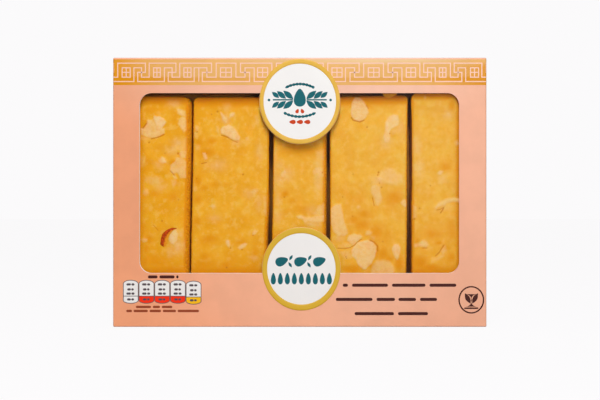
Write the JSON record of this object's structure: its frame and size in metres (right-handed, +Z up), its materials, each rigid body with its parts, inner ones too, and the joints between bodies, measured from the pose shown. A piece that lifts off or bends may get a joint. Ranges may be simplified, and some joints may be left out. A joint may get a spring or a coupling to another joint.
{
  "type": "windowed carton of almond cake slices",
  "caption": "Shut board carton with a film window and oval badges in front, standing on its long edge and holding bars of almond cake with flaked almonds in a brown tray.",
  "frame": {"origin": "middle of the carton's base, on the surface that it stands on", "axes": "+Z up, the window faces -Y, +X to the right as seen from the front"},
  "size_m": [0.24, 0.036, 0.173],
  "materials": {
    "printed_board": "satin varnish over pink and gold print",
    "clear_film": "clear gloss",
    "brown_plastic": "brown, formed sheet",
    "glazed_almond_cake": "golden glazed sponge with pale almond flakes"
  },
  "bodies": {
    "root": {"carton": "printed_board", "window_film": "clear_film", "tray": "brown_plastic", "slice_1": "glazed_almond_cake", "slice_2": "glazed_almond_cake", "slice_3": "glazed_almond_cake", "slice_4": "glazed_almond_cake", "slice_5": "glazed_almond_cake"}
  },
  "joints": []
}
